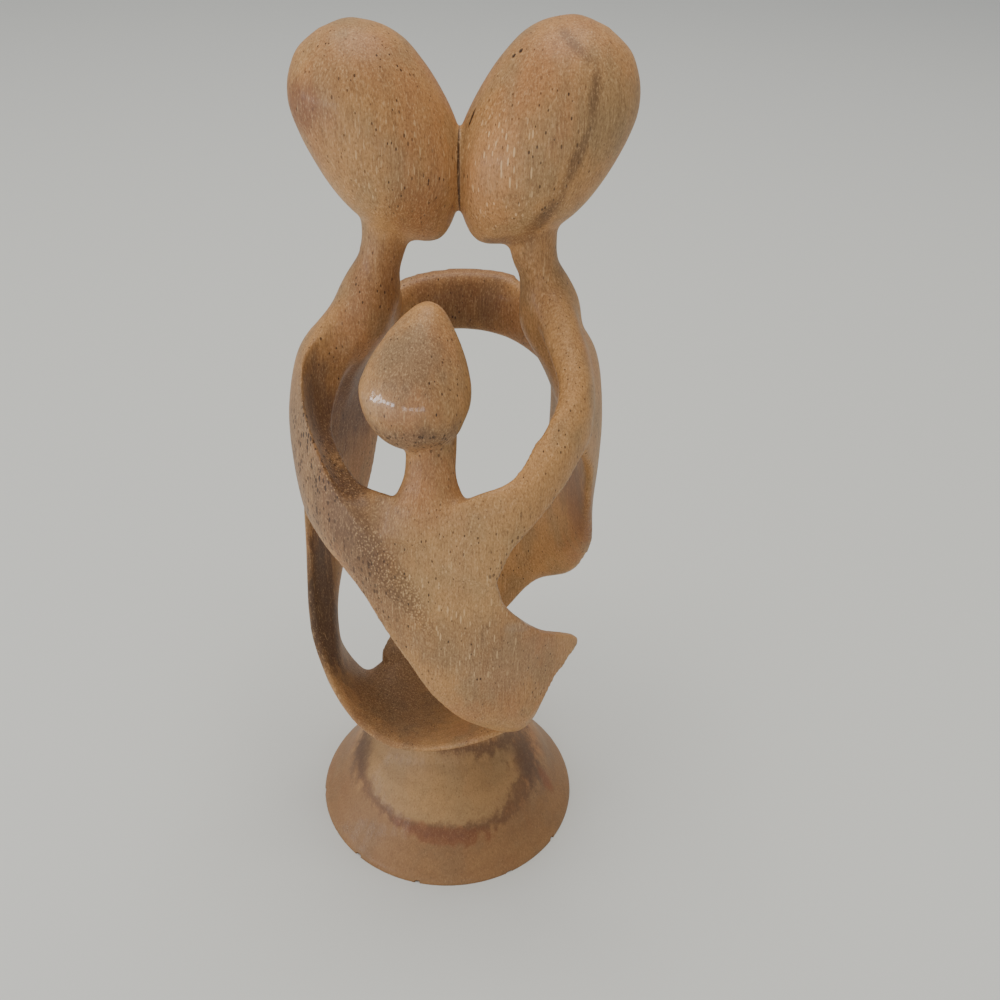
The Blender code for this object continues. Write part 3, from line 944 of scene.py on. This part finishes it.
    coarse: tuple[Patch, ...] = (
        Patch((-30, -20, 112), (10, 12, 26), (0, -12, 0), 1.0, 0.5),
        Patch((-17, -31, 96), (7, 8, 15), (0, -33, 0), 0.7, 0.6),
        Patch((13, -31, 104), (4, 6, 14), (0, 20, 0), 0.7, 0.6),
        Patch((-6, -30, 130), (12, 10, 5), strength=0.8),
    )
    flecked: tuple[Patch, ...] = (
        Patch((7, -10, 176), (12, 12, 17), strength=1.0),
        Patch((-13, -10, 176), (14, 12, 14), strength=0.55),
        Patch((4, -32, 88), (14, 8, 26), (0, -25, 0), 0.8),
        Patch((16, -8, 152), (8, 9, 10), strength=0.4),
    )
    scaled: tuple[Patch, ...] = (
        Patch((-10.5, -31, 98), (4.5, 8, 20), (0, -33, 0), 1.0, 0.6, 0.3),
        Patch((-21, -21, 116), (7, 9, 7), (0, 30, 0), 0.9, 0.6, 0.3),
        Patch((-18, 0, 36), (16, 16, 9), strength=0.5),
    )
    polished: tuple[Patch, ...] = (
        Patch((-9.5, -31.5, 139.2), (9, 6, 5), strength=1.0, soft=0.6, ragged=0.3),
        Patch((17, -29, 84), (7, 4, 1.6), (0, 14, 0), 0.6, 0.6, 0.3),
    )
    pore_mm: Room = (0.7, 1.6)
    coarse_mm: Room = (0.75, 1.7)
    fleck_mm: Room = (0.6, 3.6)
    scale_mm: Room = (0.50, 0.62)
    fibre_mm: Room = (0.40, 7.0)
    speck_mm: Room = (0.30, 0.72)
    rings_per_mm: float = 0.35
    relief_mm: float = 0.2
    sanded_below: float = 24.0
    roughness: float = 0.52
    gloss_roughness: float = 0.10

    def tones(self, figure: Figure) -> list:
        """Layers of the ground: redder and duller streaks along the log, stained patches, painted
        shade and rings.

        Args:
            figure: Draws the figure.

        Returns:
            How strongly each layer covers, and its tone.
        """
        tree = figure.tree
        reds = figure.field("ShaderNodeTexNoise", (14, 34), {"Detail": 3})["Fac"]
        dull = figure.field("ShaderNodeTexNoise", (8, 15), {"Detail": 4})["Fac"]
        level = add(tree, "ShaderNodeVectorMath", {"operation": "MULTIPLY", 1: (1, 1, 0)},
                    {0: figure.place}).outputs["Vector"]
        radius = add(tree, "ShaderNodeVectorMath", {"operation": "LENGTH"},
                     {0: level}).outputs["Value"]
        wavy = add(tree, "ShaderNodeMath", {"operation": "MULTIPLY_ADD", 1: 7.0},
                   {0: figure.border, 2: radius}).outputs["Value"]
        turns = add(tree, "ShaderNodeMath",
                    {"operation": "MULTIPLY", 1: self.rings_per_mm * 2 * math.pi},
                    {0: wavy}).outputs["Value"]
        rings = add(tree, "ShaderNodeMath", {"operation": "SINE"}, {0: turns}).outputs["Value"]
        return [(figure.shows(reds, 0.45, 0.70, 0.0, 0.55), self.red),
                (figure.shows(dull, 0.44, 0.66, 0.0, 0.6), self.olive),
                *[(figure.patch(tone_patch), tone_patch.colour) for tone_patch in self.stains_and_shade],
                (figure.shows(rings, 0.0, 1.0, 0.0, 0.12), self.dark)]

    def grain(self, figure: Figure, fibres: Socket, specks: Socket, open_grain: Socket) -> list:
        """Layers of fibres and fine speckle.

        Args:
            figure: Draws the figure.
            fibres: Where fibres are light and dark.
            specks: Where the wood is light and dark between them.
            open_grain: How open the grain is.

        Returns:
            How strongly each layer covers, and its tone.
        """
        opened = (open_grain,)
        return [(figure.shows(fibres, 0.28, 0.46, 0.32, 0.0, opened), self.pale),
                (figure.shows(fibres, 0.50, 0.74, 0.0, 0.32), self.dark),
                (figure.shows(specks, 0.50, 0.68, 0.0, 0.38, opened), self.dark),
                (figure.shows(specks, 0.30, 0.46, 0.30, 0.0, opened), self.pale)]

    def pores(self, figure: Figure, open_grain: Socket) -> Socket:
        """Fine pores in crowds, and large ones near the log's skin.

        Args:
            figure: Draws the figure.
            open_grain: How open the grain is.

        Returns:
            How deep they are.
        """
        crowds = figure.field("ShaderNodeTexNoise", (9, 16), {"Detail": 2})["Fac"]
        crowded = figure.shows(crowds, 0.35, 0.6, 0.3, 1.0)
        fine = figure.dashes(self.pore_mm, 0.23, 0.40, (crowded, open_grain))
        large = figure.dashes(self.coarse_mm, 0.34, 0.9, (figure.any_of(self.coarse),))
        return add(figure.tree, "ShaderNodeMath", {"operation": "MAXIMUM"},
                   {0: fine, 1: large}).outputs["Value"]

    def material(self) -> bpy.types.Material:
        """Builds the finish.

        Returns:
            The material.
        """
        made = bpy.data.materials.new("waxed_suar_wood")
        made.use_nodes = True
        tree = made.node_tree
        shader = tree.nodes["Principled BSDF"]
        figure = Figure(tree)
        height = add(tree, "ShaderNodeSeparateXYZ", {}, {0: figure.place}).outputs["Z"]
        open_grain = figure.shows(height, self.sanded_below, self.sanded_below + 10, 0.3, 1.0)
        fibres = figure.field("ShaderNodeTexNoise", self.fibre_mm,
                              {"Detail": 3, "Roughness": 0.65})["Fac"]
        specks = figure.field("ShaderNodeTexNoise", self.speck_mm,
                              {"Detail": 2, "Roughness": 0.6})["Fac"]
        pores = self.pores(figure, open_grain)
        tile = figure.field("ShaderNodeTexVoronoi", self.scale_mm, {"Randomness": 1.0})["Distance"]
        scaled = (figure.any_of(self.scaled),)
        flecked = (figure.any_of(self.flecked), 0.85)
        filled = add(tree, "ShaderNodeMath", {"operation": "MULTIPLY", 1: 0.85},
                     {0: pores}).outputs["Value"]
        ground = figure.layered(linear(self.tan), [
            *self.tones(figure),
            *self.grain(figure, fibres, specks, open_grain),
            (figure.shows(tile, 0.36, 0.62, 0.0, 0.55, scaled), self.dark),
            (figure.shows(tile, 0.12, 0.34, 0.5, 0.0, scaled), self.pale),
            (figure.dashes(self.fleck_mm, 0.28, 0.75, flecked), self.pale),
            (filled, self.pore)])
        tree.links.new(ground, shader.inputs["Base Color"])

        # Relief: fibres stand up, pores and the lines between scales are sunk
        raised = add(tree, "ShaderNodeMath", {"operation": "ADD"},
                     {0: fibres, 1: specks}).outputs["Value"]
        raised = add(tree, "ShaderNodeMath", {"operation": "MULTIPLY", 1: 0.3},
                     {0: raised}).outputs["Value"]
        sunk = add(tree, "ShaderNodeMath", {"operation": "ADD"},
                   {0: pores, 1: figure.shows(tile, 0.3, 0.6, 0.0, 0.7, scaled)}).outputs["Value"]
        relief = add(tree, "ShaderNodeMath", {"operation": "SUBTRACT"},
                     {0: raised, 1: sunk}).outputs["Value"]
        bump = add(tree, "ShaderNodeBump", {"Strength": 0.6, "Distance": self.relief_mm * MM},
                   {"Height": relief})
        tree.links.new(bump.outputs["Normal"], shader.inputs["Normal"])

        # Wax: a soft sheen, and a gloss where it was rubbed
        wax = add(tree, "ShaderNodeMath", {"operation": "MULTIPLY_ADD", 1: 0.9, 2: 0.04},
                  {0: figure.any_of(self.polished)}).outputs["Value"]
        tree.links.new(wax, shader.inputs["Coat Weight"])
        shader.inputs["Coat Roughness"].default_value = self.gloss_roughness
        shader.inputs["Roughness"].default_value = self.roughness
        shader.inputs["IOR"].default_value = 1.48
        shader.inputs["Specular IOR Level"].default_value = 0.35
        return made


@dataclass(frozen=True)
class MattPaint:
    """Matt off-white paint: a plain pale ground that the shadow shows on."""

    colour: str = "#D9DBD6"
    roughness: float = 0.7

    def material(self) -> bpy.types.Material:
        """The painted board's material."""
        made = bpy.data.materials.new("matt_off_white_paint")
        made.use_nodes = True
        shader = made.node_tree.nodes["Principled BSDF"]
        shader.inputs["Base Color"].default_value = linear(self.colour)
        shader.inputs["Roughness"].default_value = self.roughness
        return made


@dataclass
class FamilyGroup:
    """The whole carving, one piece of wood.

    Attributes:
        log: The blank.
        left: The parent on the -X side, whose arm crosses in front.
        right: The parent on the +X side.
        child: The child between them.
        base: The foot.
        finish: The wood.
        flaws: Kind, place and outward direction of each crack, bore and chip, in drawn
            millimetres.
        voxel_mm: Size of the cells that the forms are joined in.
        soft_passes: How often the joined wood is softened.
        neck_top: Height above which only the heads lie, in drawn millimetres.
        crevice: Half width of the crevice between the heads, in drawn millimetres.
        shoulder_floors: Height above which the right and the left shoulder are sanded smooth,
            in drawn millimetres.
        shoulder_inner: Least distance of that part from the middle, in drawn millimetres.
        most_triangles: How many triangles the finished piece may have.
        mark_depth: Depth of the knife's marks, in metres.
        mark_width: Width of a mark, in metres.
        mark_length: Length of a mark, in metres.
        mark_floor: Height up to which the rim has none, in metres.
    """

    log: Log = field(default_factory=Log)
    left: Parent = field(default_factory=lambda: Parent(
        Head((-25.5, 0.5, 198.0), (-3.6, 0.5, 159.5), 0.0136, PARENT_EGG, bend=0.5),
        LEFT_NECK, LEFT_TORSO, LEFT_ARM, (0.0, 0.5, 1.0, 1.0, 1.0, 1.0, 0.9, 0.7, 0.5, 0.3, 0.1)))
    right: Parent = field(default_factory=lambda: Parent(
        Head((26.5, 3.6, 199.72), (4, 0.4, 159.5), 0.01428, PARENT_EGG),
        RIGHT_NECK, RIGHT_TORSO, RIGHT_ARM))
    child: Child = field(default_factory=lambda: Child(
        Head((-3.6, -20, 155.4), (-8.2, -25.5, 126.4), 0.0108, CHILD_EGG, 0.95, jaw=1.1),
        CHILD_NECK))
    base: Base = field(default_factory=Base)
    finish: WaxedSuar = field(default_factory=WaxedSuar)
    flaws: tuple = (
        (Flaw.CRACK, (2.4, -2.4, 184.1), (-0.8, -0.46, 0.38)),
        (Flaw.BORE, (10.9, -2.5, 196.3), (-0.7, -0.5, 0.6)),
        (Flaw.BORE, (9.7, -2.1, 195.3), (-0.7, -0.4, 0.6)),
        (Flaw.CHIP, (-21.4, -26.6, 0.3), (-0.6, -0.7, 0.0)),
        (Flaw.CHIP, (24.6, -23.4, 0.8), (0.7, -0.7, 0.0)),
    )
    voxel_mm: float = 0.52
    soft_passes: int = 70
    neck_top: float = 157.0
    crevice: float = 7.0
    shoulder_floors: tuple[float, float] = (128.0, 140.0)
    shoulder_inner: float = 12.0
    most_triangles: int = 192000
    mark_depth: float = 0.00016
    mark_width: float = 0.004
    mark_length: float = 0.011
    mark_floor: float = 0.0004

    def forms(self) -> list:
        """Every overlapping form that the log is carved into."""
        return [*self.left.forms(), *self.right.forms(), *self.child.forms(),
                Strip(BACK_ARCH), self.base]

    def joined(self) -> bpy.types.Object:
        """Joins the forms into one closed skin.

        Returns:
            The piece, in metres.
        """
        points, faces = [], []
        for form in self.forms():
            own, own_faces = form.shell(self.log)
            start = sum(map(len, points))
            points.append(own * self.log.unit)
            faces.extend(tuple(start + v for v in face) for face in own_faces)
        piece = new_piece("carved_family_group", np.vstack(points), faces)
        remesh = piece.modifiers.new("Join", "REMESH")
        remesh.mode = "VOXEL"
        remesh.voxel_size = self.voxel_mm * MM
        work_in(piece)
        return piece

    def soften(self, piece: bpy.types.Object) -> None:
        """Fills the inner corners where forms meet, as a blade and sandpaper leave them, and
        keeps the crests.

        Args:
            piece: The joined piece, all of quads.
        """
        mesh = piece.data
        points = np.empty(len(mesh.vertices) * 3)
        mesh.vertices.foreach_get("co", points)
        points = points.reshape(-1, 3)
        corners = np.empty(len(mesh.loops), np.int64)
        mesh.loops.foreach_get("vertex_index", corners)
        quads = corners.reshape(-1, 4)
        edges = np.sort(np.vstack([quads[:, [k, (k + 1) % 4]] for k in range(4)]), axis=1)
        edges = np.unique(edges, axis=0)
        a, b = edges.T
        count = len(points)
        ends = (np.bincount(a, minlength=count) + np.bincount(b, minlength=count))[:, None]
        for _ in range(self.soft_passes):
            around = np.stack([np.bincount(a, points[b, k], count)
                               + np.bincount(b, points[a, k], count) for k in range(3)], 1)
            pull = around / ends - points
            p = points[quads]
            face_normal = np.cross(p[:, 2] - p[:, 0], p[:, 3] - p[:, 1])
            normal = np.stack([sum(np.bincount(quads[:, c], face_normal[:, k], count)
                                   for c in range(4)) for k in range(3)], 1)
            hollow = np.sum(pull * normal, axis=1) > 0
            share = np.where(hollow, Softening.HOLLOW.value, Softening.CREST.value)
            heads = points[:, 2] > self.neck_top * self.log.unit
            between = heads & (np.abs(points[:, 0]) < self.crevice * self.log.unit)
            floor = np.where(points[:, 0] > 0, *self.shoulder_floors) * self.log.unit
            shoulder = ((points[:, 2] > floor) & ~heads
                        & (np.abs(points[:, 0]) > self.shoulder_inner * self.log.unit))
            share = np.where(heads, share * Softening.JAW.value, share)
            share = np.where(between, share * Softening.CREVICE.value, share)
            share = np.where(shoulder, Softening.SHOULDER.value, share)
            points = points + pull * share[:, None]
        mesh.vertices.foreach_set("co", points.ravel())
        mesh.update()

    def stand_flat(self, piece: bpy.types.Object) -> None:
        """Cuts the underside flat at the ground.

        Args:
            piece: The softened piece.
        """
        work = bmesh.new()
        work.from_mesh(piece.data)
        everything = work.verts[:] + work.edges[:] + work.faces[:]
        cut = bmesh.ops.bisect_plane(work, geom=everything, plane_co=(0, 0, 0),
                                     plane_no=(0, 0, -1), clear_outer=True)
        rim = [g for g in cut["geom_cut"] if isinstance(g, bmesh.types.BMEdge)]
        bmesh.ops.contextual_create(work, geom=rim)
        work.to_mesh(piece.data)
        work.free()

    def damage(self, piece: bpy.types.Object) -> None:
        """Cuts the rim's nicks and the cracks, bores and chips out of the piece.

        Args:
            piece: The standing piece.
        """
        points, faces = [], []
        for flaw, place, outward in self.flaws:
            away = Vector(outward).normalized()
            across = away.cross(Vector((0.0, 0.0, 1.0))).normalized()
            lengthwise = across.cross(away)
            turn = Matrix((across, lengthwise, away)).transposed()
            lens = bmesh.new()
            bmesh.ops.create_icosphere(lens, subdivisions=2, radius=1.0)
            start = len(points)
            for vert in lens.verts:
                own = Vector(k * size for k, size in zip(vert.co, flaw.value))
                points.append(turn @ own + Vector(place) * self.log.unit)
            faces.extend(tuple(start + vert.index for vert in face.verts) for face in lens.faces)
            lens.free()
        flaws = new_piece("flaws", np.array([tuple(p) for p in points]), faces)
        nicks = new_piece("nicks", np.zeros((0, 3)), [])
        run_tree(nicks, self.base.nick_tree(), {"Radius": self.base.radius,
                                                "Count": self.base.nick_count,
                                                "Size": self.base.nick_size,
                                                "Seed": self.base.seed})
        for cutter in (flaws, nicks):
            cut = piece.modifiers.new(cutter.name, "BOOLEAN")
            cut.operation, cut.solver, cut.object = "DIFFERENCE", "EXACT", cutter
            work_in(piece)
            bpy.data.objects.remove(cutter)

    def thin(self, piece: bpy.types.Object) -> None:
        """Brings the piece under its number of triangles."""
        triangles = sum(len(face.vertices) - 2 for face in piece.data.polygons)
        if triangles > self.most_triangles:
            fewer = piece.modifiers.new("Fewer", "DECIMATE")
            fewer.ratio = self.most_triangles / triangles
            fewer.use_collapse_triangulate = True
            work_in(piece)

    def knife_marks(self) -> bpy.types.NodeTree:
        """The rule of the knife's marks: long shallow facets along the grain.

        Returns:
            A tree that moves a mesh's points along their normals.
        """
        tree, start, end = geometry_tree("Knife Marks", {
            "Depth": ("NodeSocketFloat", self.mark_depth),
            "Width": ("NodeSocketFloat", self.mark_width),
            "Length": ("NodeSocketFloat", self.mark_length),
            "Seed": ("NodeSocketFloat", 0.0),
            "Material": ("NodeSocketMaterial", None),
        })
        given = start.outputs
        place = add(tree, "GeometryNodeInputPosition").outputs["Position"]
        size = add(tree, "ShaderNodeCombineXYZ", {}, {"X": given["Width"], "Y": given["Width"],
                                                      "Z": given["Length"]}).outputs["Vector"]
        spread = add(tree, "ShaderNodeVectorMath", {"operation": "DIVIDE"},
                     {0: place, 1: size}).outputs["Vector"]
        waves = add(tree, "ShaderNodeTexNoise",
                    {"noise_dimensions": "4D", "Scale": 1.0, "Detail": 1.0, "Roughness": 0.4},
                    {"Vector": spread, "W": given["Seed"]}).outputs["Fac"]
        height = add(tree, "ShaderNodeMath", {"operation": "SUBTRACT", 1: 0.5},
                     {0: waves}).outputs["Value"]
        height = add(tree, "ShaderNodeMath", {"operation": "MULTIPLY"},
                     {0: height, 1: given["Depth"]}).outputs["Value"]
        normal = add(tree, "GeometryNodeInputNormal").outputs["Normal"]
        offset = add(tree, "ShaderNodeVectorMath", {"operation": "SCALE"},
                     {0: normal, "Scale": height}).outputs["Vector"]
        xyz = add(tree, "ShaderNodeSeparateXYZ", {}, {"Vector": place}).outputs
        above = add(tree, "FunctionNodeCompare",
                    {"operation": "GREATER_THAN", "B": self.mark_floor},
                    {"A": xyz["Z"]}).outputs["Result"]
        moved = add(tree, "GeometryNodeSetPosition", {},
                    {"Geometry": given["Geometry"], "Selection": above,
                     "Offset": offset}).outputs["Geometry"]
        real = add(tree, "GeometryNodeRealizeInstances", {},
                   {"Geometry": moved}).outputs["Geometry"]
        done = add(tree, "GeometryNodeSetMaterial", {},
                   {"Geometry": real, "Material": given["Material"]}).outputs["Geometry"]
        tree.links.new(done, end.inputs["Geometry"])
        return tree

    def build(self) -> bpy.types.Object:
        """Builds, carves and dresses the group.

        Returns:
            The finished piece.
        """
        piece = self.joined()
        self.soften(piece)
        self.stand_flat(piece)
        self.thin(piece)
        self.damage(piece)
        wood = self.finish.material()
        run_tree(piece, self.knife_marks(), {"Depth": self.mark_depth, "Material": wood})
        piece.data.shade_smooth()
        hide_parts("family_group")
        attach(piece, "root")
        LOG.info("%s: %d faces", piece.name, len(piece.data.polygons))
        return piece


@dataclass
class Studio:
    """A pale floor, soft lamps and the camera.

    Attributes:
        stand: Where the camera stands, in millimetres.
        pitch: How far it looks down, in degrees.
        roll: How far it is turned about its line of sight, in degrees.
        lens: Focal length for a sensor 36 mm wide.
        windows: Direction of the first pane about the group in degrees, number of panes,
            height above the floor in metres and power of each pane in watts.
        pane_step: The angle from each pane to the next, in degrees.
        pane_width: Width of a pane, in metres.
        pane_away: Distance of the panes from the middle, in metres.
        aim: The point that the lamps look at, in metres.
        floor_half: Half width of the floor, in metres.
        paint: The floor's finish.
    """

    stand: Point = (10.8, -207.1, 240.6)
    pitch: float = 34.83
    roll: float = -2.67
    lens: float = 39.6
    windows: tuple = ((-176.0, 6, 0.09, 0.40), (-104.0, 4, 0.06, 0.12))
    pane_step: float = 10.0
    pane_width: float = 0.10
    pane_away: float = 0.8
    aim: Point = (0.0, 0.0, 0.1)
    floor_half: float = 3.0
    paint: MattPaint = field(default_factory=MattPaint)

    def camera(self) -> None:
        """Sets the camera at the viewing angle."""
        data = bpy.data.cameras.new("camera")
        data.sensor_width, data.lens = 36.0, self.lens
        data.clip_start, data.clip_end = 0.01, 20.0
        pitch, roll = math.radians(self.pitch), math.radians(self.roll)
        forward = Vector((0.0, math.cos(pitch), -math.sin(pitch)))
        right = Vector((1.0, 0.0, 0.0))
        down = forward.cross(right)
        across = right * math.cos(roll) + down * math.sin(roll)
        lower = down * math.cos(roll) - right * math.sin(roll)
        turned = Matrix((across, -lower, -forward)).transposed().to_4x4()
        camera = bpy.data.objects.new("camera", data)
        camera.matrix_world = Matrix.Translation(Vector(self.stand) * MM) @ turned
        bpy.context.scene.collection.objects.link(camera)
        bpy.context.scene.camera = camera

    def lamp(self, name: str, place: Point, size: float, power: float, colour: str) -> None:
        """Hangs a square soft lamp that looks at the group.

        Args:
            name: The lamp's name.
            place: Where it hangs, in metres.
            size: Its width in metres.
            power: Its power in watts.
            colour: Its colour as sRGB hex.
        """
        data = bpy.data.lights.new(name, "AREA")
        data.size, data.energy, data.color = size, power, linear(colour)[:3]
        lamp = bpy.data.objects.new(name, data)
        lamp.location = place
        aim = Vector(self.aim) - Vector(place)
        lamp.rotation_euler = aim.to_track_quat("-Z", "Y").to_euler()
        bpy.context.scene.collection.objects.link(lamp)

    def sky(self, colour: str, strength: float) -> None:
        """Gives the room an even light.

        Args:
            colour: Its colour as sRGB hex.
            strength: Its strength.
        """
        world = bpy.data.worlds.new("room")
        world.use_nodes = True
        shade = world.node_tree.nodes["Background"]
        shade.inputs["Color"].default_value = linear(colour)
        shade.inputs["Strength"].default_value = strength
        bpy.context.scene.world = world

    def floor(self) -> None:
        """Lays the pale floor."""
        half = self.floor_half
        floor = new_piece("floor", np.array([(-half, -half, 0), (half, -half, 0),
                                             (half, half, 0), (-half, half, 0)]), [(0, 1, 2, 3)])
        floor.data.materials.append(self.paint.material())
        floor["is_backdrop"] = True

    def build(self) -> None:
        """Sets up the studio."""
        self.floor()
        self.camera()
        self.sky("#E8EAF0", 0.44)
        self.lamp("ceiling", (-0.05, 0.0, 1.5), 1.2, 20.0, "#FFFAF2")
        for first, count, height, power in self.windows:
            for k in range(count):
                around = math.radians(first + self.pane_step * k)
                x, y = self.pane_away * math.cos(around), self.pane_away * math.sin(around)
                self.lamp("pane", (x, y, height), self.pane_width, power, "#F4F7FF")


def corners() -> list[list[float]]:
    """The shown model's lowest and highest corner, in metres."""
    return [list(corner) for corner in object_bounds()]


def main() -> None:
    """Builds the dressed model around the frame."""
    logging.basicConfig(level=logging.INFO, format="%(name)s: %(message)s")
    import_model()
    FamilyGroup().build()
    Studio().build()


if __name__ == "__main__":
    for old in list(bpy.data.objects):
        bpy.data.objects.remove(old)
    main()
